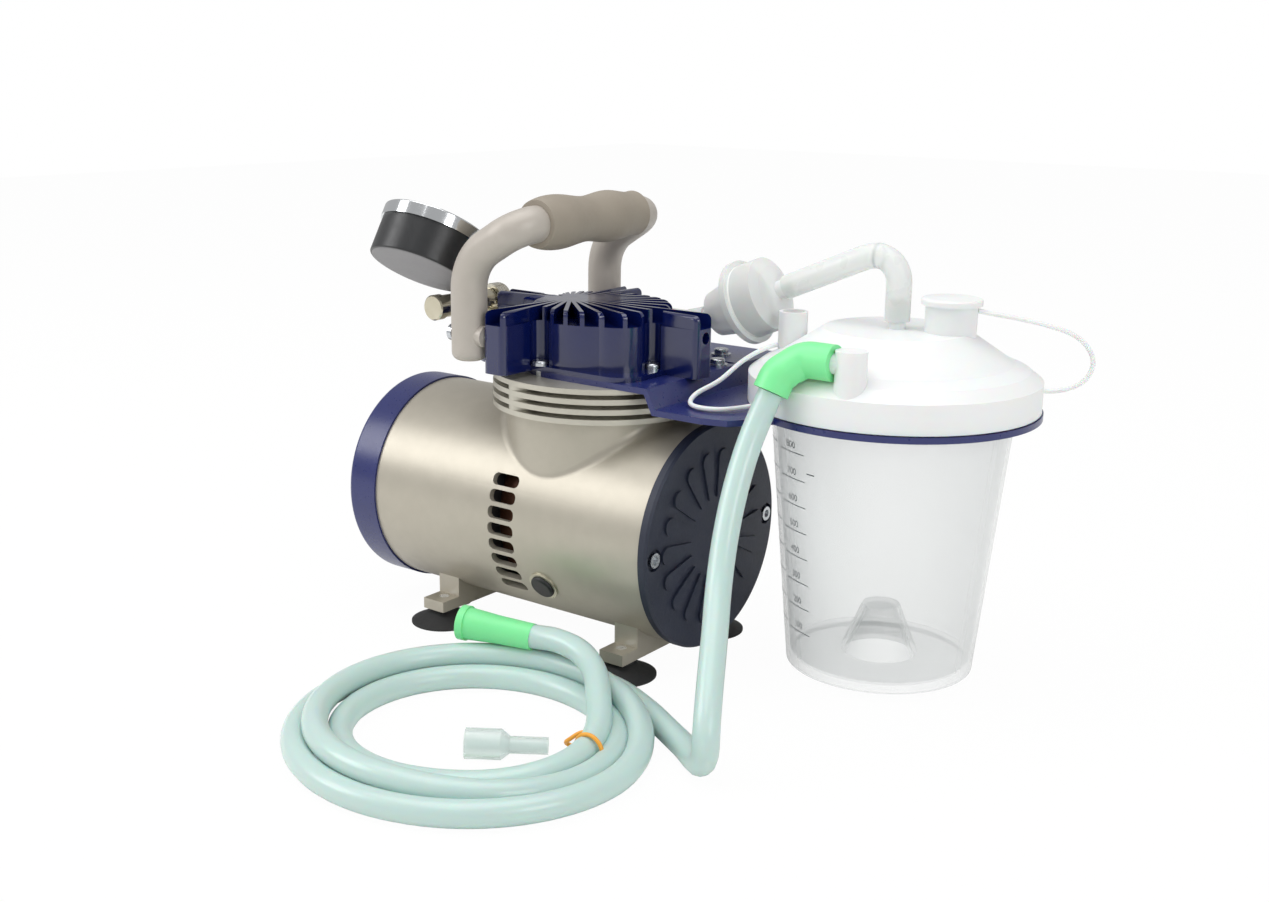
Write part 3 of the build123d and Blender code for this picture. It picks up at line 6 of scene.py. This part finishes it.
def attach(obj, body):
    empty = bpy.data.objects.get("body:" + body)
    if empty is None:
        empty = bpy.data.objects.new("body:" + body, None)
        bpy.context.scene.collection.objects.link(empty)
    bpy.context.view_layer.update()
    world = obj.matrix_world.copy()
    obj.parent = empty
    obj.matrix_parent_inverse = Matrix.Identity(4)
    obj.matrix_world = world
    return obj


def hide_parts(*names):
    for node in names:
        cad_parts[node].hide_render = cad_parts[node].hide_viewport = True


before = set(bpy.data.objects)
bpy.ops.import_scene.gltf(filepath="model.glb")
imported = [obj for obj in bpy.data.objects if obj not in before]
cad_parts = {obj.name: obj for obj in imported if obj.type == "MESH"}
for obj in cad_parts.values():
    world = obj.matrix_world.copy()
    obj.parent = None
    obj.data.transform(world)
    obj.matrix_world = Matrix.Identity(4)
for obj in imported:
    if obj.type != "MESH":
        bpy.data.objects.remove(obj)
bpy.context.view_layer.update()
scene = bpy.context.scene
scene.view_settings.view_transform = "Standard"


# The camera stands in front of the pump's right end, a little above the lid.
# Its place and lens come from the part's own edges set against the photograph.
camera = bpy.data.objects.new("camera", bpy.data.cameras.new("camera"))
scene.collection.objects.link(camera)
right = Vector((0.80265, 0.596321, 0.012383))
up = Vector((-0.158401, 0.193101, 0.968308))
ahead = Vector((-0.575032, 0.779175, -0.24945))
turned = Matrix((right, up, -ahead)).transposed().to_4x4()
camera.matrix_world = Matrix.Translation((0.393956, -0.585152, 0.277858)) @ turned
camera.data.sensor_width = 36.0
camera.data.lens = 42.332
scene.camera = camera


# Pale table top and studio light: one broad lamp above, one at the left, one low at the right.
# The background is white to the camera and to reflections, and the floor keeps the shadow.
def linear(code, alpha=1.0):
    """Turns an sRGB hex colour to the linear one that the shaders use."""
    parts = [int(code[i:i + 2], 16) / 255 for i in (1, 3, 5)]
    return [c / 12.92 if c <= 0.04045 else ((c + 0.055) / 1.055) ** 2.4 for c in parts] + [alpha]


def add(tree, kind, settings=None, values=None, links=None):
    """Adds one node, with its settings, its socket values and the sockets that feed it."""
    made = tree.nodes.new(kind)
    for name, value in (settings or {}).items():
        setattr(made, name, value)
    for name, value in (values or {}).items():
        made.inputs[name].default_value = value
    for name, socket in (links or {}).items():
        tree.links.new(socket, made.inputs[name])
    return made


def empty_material(name):
    """A new material with no nodes but its output."""
    material = bpy.data.materials.new(name)
    material.use_nodes = True
    material.node_tree.nodes.clear()
    return material, material.node_tree, material.node_tree.nodes.new("ShaderNodeOutputMaterial")


floor_mesh = bpy.data.meshes.new("table_top")
floor_mesh.from_pydata([(-3, -3, 0), (3, -3, 0), (3, 4, 0), (-3, 4, 0)], [], [(0, 1, 2, 3)])
floor = bpy.data.objects.new("table_top", floor_mesh)
scene.collection.objects.link(floor)
floor_paint, tree, out = empty_material("White studio table")
seen = add(tree, "ShaderNodeLightPath")
lit = add(tree, "ShaderNodeBsdfDiffuse", values={"Color": linear("#F4F4F2")})
white = add(tree, "ShaderNodeEmission", values={"Color": linear("#FFFFFF"), "Strength": 1.0})
blend = add(tree, "ShaderNodeMixShader", values={"Fac": 0.97}, links={1: lit.outputs[0], 2: white.outputs[0]})
shown = add(tree, "ShaderNodeMixShader",
            links={"Fac": seen.outputs["Is Camera Ray"], 1: lit.outputs[0], 2: blend.outputs[0]})
tree.links.new(shown.outputs[0], out.inputs["Surface"])
floor_mesh.materials.append(floor_paint)

world = bpy.data.worlds.new("studio")
scene.world = world
world.use_nodes = True
tree = world.node_tree
tree.nodes.clear()
out = tree.nodes.new("ShaderNodeOutputWorld")
seen = add(tree, "ShaderNodeLightPath")
straight = add(tree, "ShaderNodeMath", {"operation": "MAXIMUM"},
               links={0: seen.outputs["Is Camera Ray"], 1: seen.outputs["Is Transmission Ray"]})
soft = add(tree, "ShaderNodeBackground", values={"Color": linear("#FFFFFF"), "Strength": 0.5})
plain = add(tree, "ShaderNodeBackground", values={"Color": linear("#FFFFFF"), "Strength": 1.0})
choice = add(tree, "ShaderNodeMixShader",
             links={"Fac": straight.outputs[0], 1: soft.outputs[0], 2: plain.outputs[0]})
tree.links.new(choice.outputs[0], out.inputs["Surface"])

lamps = [("lamp_above", (-0.1, -0.2, 1.5), 1.4, 14.0), ("lamp_left", (-1.1, -1.0, 0.9), 0.8, 9.0),
         ("lamp_right", (1.3, -0.5, 0.7), 0.6, 5.0)]
for name, place, size, power in lamps:
    lamp = bpy.data.lights.new(name, "AREA")
    lamp.size = size
    lamp.energy = power
    holder = bpy.data.objects.new(name, lamp)
    holder.location = place
    holder.rotation_euler = (Vector((0.0, 0.0, 0.1)) - Vector(place)).to_track_quat("-Z", "Y").to_euler()
    scene.collection.objects.link(holder)


# Suction tube, 11.2 mm PVC hose: it hangs from the lid's connector, turns on the table and
# winds into three loose turns, whose end climbs over them into the funnel.
def finish(name, colour, shade, rough, metal=0.0, grain=1.0, depth=0.1, spread=0.08,
           stretch=(1, 1, 1), ior=None, values=None):
    """A material of one substance: two near colours, uneven gloss and a fine relief.

    grain is the size of the relief in millimetres, depth its strength and spread the change in gloss.
    """
    material, tree, out = empty_material(name)
    place = add(tree, "ShaderNodeTexCoord")
    drawn = add(tree, "ShaderNodeMapping", values={"Scale": stretch}, links={"Vector": place.outputs["Object"]})
    cloud = add(tree, "ShaderNodeTexNoise", values={"Scale": 1000 / (grain * 14), "Detail": 4.0},
                links={"Vector": drawn.outputs[0]})
    fine = add(tree, "ShaderNodeTexNoise", values={"Scale": 1000 / (grain * 2), "Detail": 3.0},
               links={"Vector": drawn.outputs[0]})
    tint = add(tree, "ShaderNodeMix", {"data_type": "RGBA"}, links={0: cloud.outputs[0]})
    tint.inputs[6].default_value = linear(colour)
    tint.inputs[7].default_value = linear(shade)
    gloss = add(tree, "ShaderNodeMapRange", links={"Value": fine.outputs[0]},
                values={"To Min": max(rough - spread, 0.02), "To Max": rough + spread})
    bump = add(tree, "ShaderNodeBump", values={"Strength": depth, "Distance": grain / 4000},
               links={"Height": fine.outputs[0]})
    shader = add(tree, "ShaderNodeBsdfPrincipled", values={"Metallic": metal},
                 links={"Base Color": tint.outputs[2], "Roughness": gloss.outputs[0], "Normal": bump.outputs[0]})
    if ior:
        shader.inputs["IOR"].default_value = ior
    for socket, value in (values or {}).items():
        shader.inputs[socket].default_value = value
    tree.links.new(shader.outputs[0], out.inputs["Surface"])
    return material


def wear(material, *nodes):
    """Gives a material to CAD nodes, in every slot that they have."""
    for name in nodes:
        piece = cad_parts[name]
        for slot in piece.material_slots:
            slot.link = "OBJECT"
            slot.material = material
        if not piece.material_slots:
            piece.data.materials.append(material)


# Plasticised PVC: soft and glossy, pale aqua, with cloudy light inside the wall.
soft_pvc = finish("Plasticised PVC hose", "#D0E6E1", "#C3DED9", 0.3, grain=20, depth=0.01, spread=0.03, ior=1.53,
                  values={"Transmission Weight": 0.18, "Subsurface Weight": 0.35, "Subsurface Scale": 0.004,
                          "Coat Weight": 0.15})
shift_x = 67.307
shift_y = 22.1157
# The hanging stretch, from the elbow's mouth down to the table, back under itself and to the coil.
hang = [
    (136.6, -25.5, 143.2), (133.0, -32.5, 127.5), (132.6, -42.5, 110.0), (134.6, -54.0, 90.0),
    (139.4, -66.5, 69.0), (148.0, -81.5, 53.0), (156.0, -96.5, 37.0), (162.2, -107.6, 24.5),
    (162.8, -108.6, 14.0), (158.6, -105.2, 7.2), (151.5, -99.6, 5.75), (144.5, -94.6, 5.9),
    (134.0, -88.6, 5.9), (123.0, -82.2, 5.9),
]
# The coil, as turns since its start, half its length along X and its height over the table:
# the first turn is the widest, the second rides in the valley over it, the third lies inside.
turn_keys = [
    (0.0, 80.0, 5.8), (0.15, 77.9, 5.8), (0.84, 77.9, 5.8), (1.06, 69.2, 12.8), (1.6, 69.0, 12.8),
    (1.84, 66.4, 5.8), (2.06, 60.5, 5.8), (2.5, 59.0, 5.8), (2.72, 54.8, 6.4), (2.9, 55.0, 8.2),
    (3.0, 56.5, 15.8),
]
coil_x = 62.5
coil_y = -134.9
coil_flatter = 4.2
coil_start = 51.3
turns = 3


def between_keys(keys, at):
    """The values at one place along a list of keys, eased from each key to the next."""
    for low, high in zip(keys, keys[1:]):
        if at <= high[0]:
            part = (at - low[0]) / (high[0] - low[0])
            part = part * part * (3 - 2 * part)
            return [a + (b - a) * part for a, b in zip(low[1:], high[1:])]
    return list(keys[-1][1:])


def in_metres(points):
    """Points of the part's drawing, in millimetres, to metres in the shared frame."""
    return [((x - shift_x) / 1000, (y - shift_y) / 1000, z / 1000) for x, y, z in points]


wound = []
steps_per_turn = 16
for step in range(turns * steps_per_turn + 1):
    turn = step / steps_per_turn
    reach, height = between_keys(turn_keys, turn)
    angle = radians(coil_start + 360 * turn)
    wound.append((coil_x + reach * cos(angle), coil_y + (reach - coil_flatter) * sin(angle), height))
# The tail, up over the turns and into the funnel.
climb = [
    (86.5, -81.5, 20.5), (73.0, -74.5, 24.4), (57.0, -72.3, 25.4), (46.0, -73.4, 24.2), (37.0, -76.0, 24.4),
]


def line(name, points, thickness, material):
    """A round cord along one smooth open spline."""
    curve = bpy.data.curves.new(name, "CURVE")
    curve.dimensions = "3D"
    curve.bevel_depth = thickness / 2
    curve.bevel_resolution = 5
    curve.resolution_u = 6
    curve.use_fill_caps = True
    spline = curve.splines.new("NURBS")
    spline.points.add(len(points) - 1)
    for point, place in zip(spline.points, points):
        point.co = (*place, 1.0)
    spline.order_u = 3
    spline.use_endpoint_u = True
    curve.materials.append(material)
    made = bpy.data.objects.new(name, curve)
    scene.collection.objects.link(made)
    return made


tube_points = in_metres(hang + wound + climb)
suction_hose = line("suction_hose", tube_points, 0.0112, soft_pvc)
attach(suction_hose, "pump")
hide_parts("suction_tube", "tube_coil")


# The tube's green ends: the elbow on the lid and the funnel, moulded in soft green vinyl,
# matt from the mould and a little darker where the wall is thick.
green_vinyl = finish("Moulded green vinyl", "#86EBA0", "#74DE92", 0.4, grain=3, depth=0.05, ior=1.5,
                     values={"Subsurface Weight": 0.2, "Subsurface Scale": 0.002, "Coat Weight": 0.1})
wear(green_vinyl, "patient_connector", "far_connector")

# Clear adapter and the orange tie: a stepped polystyrene tube and a paper-covered wire,
# twisted by hand around the innermost turn.
clear_polystyrene = finish("Clear polystyrene", "#EAF3F1", "#DDEBE8", 0.12, grain=4, depth=0.02, ior=1.59,
                           values={"Transmission Weight": 0.6, "Alpha": 0.75})
wear(clear_polystyrene, "catheter_adapter")
tie_vinyl = finish("Vinyl covered wire", "#F2A93B", "#E59A2C", 0.45, grain=0.8, depth=0.3)
wear(tie_vinyl, "tube_tie")


# Motor housing: a drawn aluminium tube with a cast neck, sprayed champagne with metal flake,
# so that it has a fine satin sparkle and long soft highlights.
champagne = finish("Champagne metallic paint", "#B7B1A4", "#ADA79A", 0.38, 0.5, grain=0.5, depth=0.06)
wear(champagne, "motor_housing", "base_rails")
wear(finish("Black rubber plug", "#18181A", "#222224", 0.45, grain=0.8, depth=0.15), "hole_plug")
wear(finish("Turned plug ring", "#CFCBB8", "#BDB9A6", 0.3, 0.8, grain=0.6, depth=0.1), "plug_rim")

# End covers: die-cast, the rear one sprayed gloss navy, the front one with a fine matt crackle
# in charcoal navy over its petals.
navy_gloss = finish("Navy gloss enamel", "#0A1650", "#081244", 0.16, grain=2.5, depth=0.06, ior=1.5,
                    values={"Coat Weight": 0.5, "Coat Roughness": 0.12})
navy_satin = finish("Navy satin enamel", "#1E2766", "#19215A", 0.3, grain=0.9, depth=0.14, ior=1.5,
                    values={"Coat Weight": 0.2, "Coat Roughness": 0.2})
navy_matt = finish("Navy textured paint", "#22283B", "#1B2031", 0.5, grain=0.7, depth=0.35)
wear(navy_satin, "rear_cover")
wear(navy_matt, "front_cover")

# Screws and washers: zinc-plated steel, bright and slightly blue, rolled and turned.
zinc = finish("Zinc plated steel", "#C9CCD0", "#B3B7BC", 0.26, 1.0, grain=0.6, depth=0.15)
wear(zinc, "cover_screws", "base_screws", "bracket_washers", "bracket_screws", "head_screws")
wear(zinc, "handle_screws", "float_stop")

# Feet: black rubber cups with moulding dust on them, so grey at the edges and never glossy.
wear(finish("Black moulded rubber", "#1D1D1E", "#2A2A2B", 0.7, grain=1.2, depth=0.3), "suction_feet")

# Motor inside: ground shaft, stacked lamination steel, enamelled copper, grey moulded fan.
wear(finish("Ground steel", "#B9BCC0", "#A6AAB0", 0.22, 1.0, grain=0.3, depth=0.1),
     "motor_shaft", "shaft_bearings", "crank_bearing")
wear(finish("Lamination steel", "#6E7378", "#5B6065", 0.45, 0.9, grain=0.5, depth=0.4, stretch=(8, 1, 1)),
     "stator_core", "rotor_core")
wear(finish("Enamelled copper wire", "#56321F", "#3E2315", 0.4, 0.6, grain=0.7, depth=0.6), "stator_windings")
wear(finish("Glass filled nylon", "#2E3034", "#3A3C40", 0.55, grain=0.8, depth=0.25), "cooling_fan")
wear(finish("Die cast zinc", "#9DA1A5", "#8B8F94", 0.42, 0.9, grain=0.9, depth=0.3), "crank", "connecting_rod")
wear(finish("Filled PTFE", "#5A4A3B", "#4D3F32", 0.4, grain=1.0, depth=0.1), "piston_cup")

# Cylinder: cast and turned fins left bare with a satin clear coat; valve plate and reeds on top.
wear(finish("Turned aluminium fins", "#C4C0B4", "#B6B2A6", 0.36, 0.6, grain=0.5, depth=0.12, stretch=(1, 1, 3)),
     "finned_cylinder")
wear(finish("Machined aluminium", "#BFC1C2", "#AFB1B3", 0.3, 1.0, grain=0.4, depth=0.12), "valve_plate")
wear(finish("Spring steel", "#9EA3A8", "#8E9398", 0.2, 1.0, grain=0.4, depth=0.05), "reed_valves")

# Jar bracket and head cover: pressed sheet and a star-ribbed casting, both in gloss navy enamel,
# with a slight orange peel and round highlights on the ribs.
wear(navy_satin, "bracket")
wear(navy_gloss, "head_cover")

# Handle: bent steel tube, powder coated warm grey, under a slid-on taupe grip with a dull skin.
wear(finish("Warm grey powder coat", "#B7B0A8", "#AFA89F", 0.42, 0.1, grain=0.5, depth=0.2), "handle_tube")
wear(finish("Taupe rubber grip", "#9A9184", "#8E8578", 0.62, grain=1.0, depth=0.25), "handle_grip")

# Regulator: turned brass with bright nickel plating, and a turned knob on its far end.
nickel = finish("Nickel plated brass", "#CFC9B8", "#B9B29D", 0.22, 1.0, grain=0.5, depth=0.1)
wear(nickel, "regulator_body", "regulator_cap", "gauge_stem")
wear(finish("Turned nickel knob", "#D6D2C6", "#BEB9AA", 0.26, 1.0, grain=0.4, depth=0.15), "regulator_knob")

# Gauge: black enamelled steel case, chromed bezel, flat glass, white dial and black pointer.
wear(finish("Black enamelled steel", "#1B1C1E", "#252628", 0.35, grain=1.0, depth=0.1, ior=1.5), "gauge_case")
wear(finish("Chrome plate", "#E4E6E8", "#D5D8DB", 0.1, 1.0, grain=1.0, depth=0.02, spread=0.04), "gauge_bezel")
wear(finish("Flat gauge glass", "#F4F8F8", "#EEF4F4", 0.04, grain=8, depth=0.005, spread=0.02, ior=1.5,
            values={"Alpha": 0.14}), "gauge_lens")
wear(finish("White printed dial", "#F4F3EE", "#ECEBE4", 0.5, grain=0.6, depth=0.05), "gauge_dial")
black_lacquer = finish("Black lacquer", "#141414", "#1E1E1E", 0.4, grain=0.5, depth=0.05)
wear(black_lacquer, "gauge_pointer")
gauge_place = Matrix.Translation(in_metres([(-50.0, -40.5, 191.3)])[0]) @ Matrix.Rotation(radians(-31), 4, "X")


def built(name, points, faces, material, place=None):
    """A mesh piece from its points in metres."""
    mesh = bpy.data.meshes.new(name)
    mesh.from_pydata(points, [], faces)
    if place:
        mesh.transform(place)
    mesh.materials.append(material)
    made = bpy.data.objects.new(name, mesh)
    scene.collection.objects.link(made)
    return made


def digits(text, height):
    """Flat printed figures, centred, as points and faces in metres."""
    writing = bpy.data.curves.new("figures", "FONT")
    writing.body = text
    writing.size = height
    writing.align_x = "CENTER"
    writing.align_y = "CENTER"
    holder = bpy.data.objects.new("figures", writing)
    scene.collection.objects.link(holder)
    seen_graph = bpy.context.evaluated_depsgraph_get()
    mesh = bpy.data.meshes.new_from_object(holder.evaluated_get(seen_graph))
    points = [vertex.co.copy() for vertex in mesh.vertices]
    faces = [tuple(face.vertices) for face in mesh.polygons]
    bpy.data.objects.remove(holder)
    bpy.data.meshes.remove(mesh)
    return points, faces


# Printed scale on the dial: 50 short marks, longer every tenth, with plain figures from 0 to 100,
# clockwise over 270 degrees from the pointer's rest at the lower left.
dial_top = 0.00656
scale_points = []
scale_faces = []
for mark in range(51):
    angle = radians(225 - 270 * mark / 50)
    outward = Vector((cos(angle), sin(angle), 0.0))
    aside = Vector((-sin(angle), cos(angle), 0.0))
    start, half_wide = (0.0165, 0.00025) if mark % 10 == 0 else (0.0180, 0.00013)
    first = len(scale_points)
    for reach, side in ((start, -1), (0.0202, -1), (0.0202, 1), (start, 1)):
        scale_points.append(outward * reach + aside * half_wide * side + Vector((0.0, 0.0, dial_top)))
    scale_faces.append((first, first + 1, first + 2, first + 3))
    if mark % 10 == 0:
        points, faces = digits(str(mark * 2), 0.0042)
        first = len(scale_points)
        scale_points += [point + outward * 0.0131 + Vector((0.0, 0.0, dial_top)) for point in points]
        scale_faces += [tuple(first + corner for corner in face) for face in faces]
dial_scale = built("dial_scale", scale_points, scale_faces, black_lacquer, gauge_place)
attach(dial_scale, "pump")

# Back plate of the gauge: a pressed grey-painted disc let into the case's closed end.
sides = 72
back_points = [Vector((0.0, 0.0, -0.01175))]
for reach, height in ((0.0236, -0.01175), (0.0244, -0.01165), (0.0246, -0.0114)):
    for k in range(sides):
        angle = 2 * pi * k / sides
        back_points.append(Vector((reach * cos(angle), reach * sin(angle), height)))
back_faces = [(0, 1 + (k + 1) % sides, 1 + k) for k in range(sides)]
for ring in range(2):
    low = 1 + sides * ring
    high = low + sides
    back_faces += [(low + k, low + (k + 1) % sides, high + (k + 1) % sides, high + k) for k in range(sides)]
grey_paint = finish("Grey painted steel", "#8C8A8D", "#848285", 0.5, grain=0.8, depth=0.1)
gauge_back = built("gauge_back_plate", back_points, back_faces, grey_paint, gauge_place)
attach(gauge_back, "pump")

# Switch box, rocker and inlet: moulded black nylon and ABS with a fine spark texture; brass pins.
wear(finish("Black ABS moulding", "#1F2022", "#292A2C", 0.48, grain=0.8, depth=0.25), "switch_box")
wear(finish("Glossy rocker ABS", "#191A1B", "#222325", 0.25, grain=1.2, depth=0.05, ior=1.5), "rocker_switch")
wear(nickel, "power_inlet_pins", "pump_port")

# Jar: blow-moulded clear polycarbonate, faintly frosted, with its marks moulded in the wall.
def clear_plastic(name, colour, facing_alpha, edge_alpha, rough, milk):
    """Clear or milky plastic wall: thin where it faces the eye, denser towards its edges, as glass is."""
    material = finish(name, colour, colour, rough, grain=5, depth=0.04, spread=0.04, ior=1.5,
                      values={"Subsurface Weight": milk, "Subsurface Scale": 0.003})
    tree = material.node_tree
    shader = next(n for n in tree.nodes if n.type == "BSDF_PRINCIPLED")
    edge = add(tree, "ShaderNodeLayerWeight", values={"Blend": 0.35})
    wall = add(tree, "ShaderNodeMapRange", values={"To Min": facing_alpha, "To Max": edge_alpha},
               links={"Value": edge.outputs["Facing"]})
    tree.links.new(wall.outputs[0], shader.inputs["Alpha"])
    return material


wear(clear_plastic("Clear blow moulded jar", "#F1F4F4", 0.15, 0.5, 0.2, 0.0), "collection_jar")

# The jar's volume marks: raised lines and figures, 100 ml apart, printed grey on the wall's outside.
# They follow the wall, which is 43.8 mm in radius at the foot and 55.6 mm at the neck.
mark_ink = finish("Grey printed marks", "#6A7073", "#5F6568", 0.5, grain=0.6, depth=0.05)
jar_x, jar_y = in_metres([(159.1, 45.2, 0)])[0][:2]


def on_wall(angle, height):
    """A point just outside the jar's wall, at an angle in degrees and a height in millimetres."""
    radius = (43.8 + (55.6 - 43.8) * (height - 5) / 124.9 + 0.12) / 1000
    return jar_x + radius * cos(radians(angle)), jar_y + radius * sin(radians(angle)), height / 1000


wall_radius = 50.0
mark_points = []
mark_faces = []
strokes = [(213, 229, 25.9 + 12.35 * step + 1.5, 0.42) for step in range(8)]
strokes += [(233, 253, 25.8 + 12.4 * step, 0.42) for step in range(8)]
strokes += [(254.5, 259.5, 104.5, 0.55)]
for start, stop, height, thick in strokes:
    first = len(mark_points)
    count = 8
    for k in range(count + 1):
        angle = start + (stop - start) * k / count
        mark_points += [on_wall(angle, height - thick / 2), on_wall(angle, height + thick / 2)]
    for k in range(first, first + 2 * count, 2):
        mark_faces.append((k, k + 2, k + 3, k + 1))
for step in range(8):
    points, faces = digits(str(100 + 100 * step), 0.0044)
    first = len(mark_points)
    height = 25.8 + 12.4 * step + 3.3
    for point in points:
        mark_points.append(on_wall(243 + point.x * 1000 / wall_radius * 180 / pi, height + point.y * 1000))
    mark_faces += [tuple(first + corner for corner in face) for face in faces]
jar_marks = built("jar_marks", mark_points, mark_faces, mark_ink)
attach(jar_marks, "jar")

# Lid, caps, tethers and float: injection-moulded polypropylene, white with light coming through.
wear(clear_plastic("White polypropylene", "#F2F4F4", 0.82, 0.97, 0.35, 0.3),
     "lid", "cap_tethers", "wide_port_cap")
wear(clear_plastic("Float moulding", "#F0F1EE", 0.7, 0.95, 0.35, 0.3), "float_valve")

# Vacuum line: clear hose, milky filter halves with the paper disc between them.
milky = clear_plastic("Milky filter moulding", "#EFF1F0", 0.6, 0.92, 0.3, 0.3)
wear(milky, "filter_inlet_shell", "filter_outlet_shell")
wear(clear_plastic("Translucent silicone", "#E9ECEA", 0.55, 0.9, 0.28, 0.3), "line_elbow", "pump_hose")
wear(finish("Pleated filter paper", "#FBFAF6", "#F0EFEA", 0.9, grain=0.8, depth=0.5), "filter_membrane")
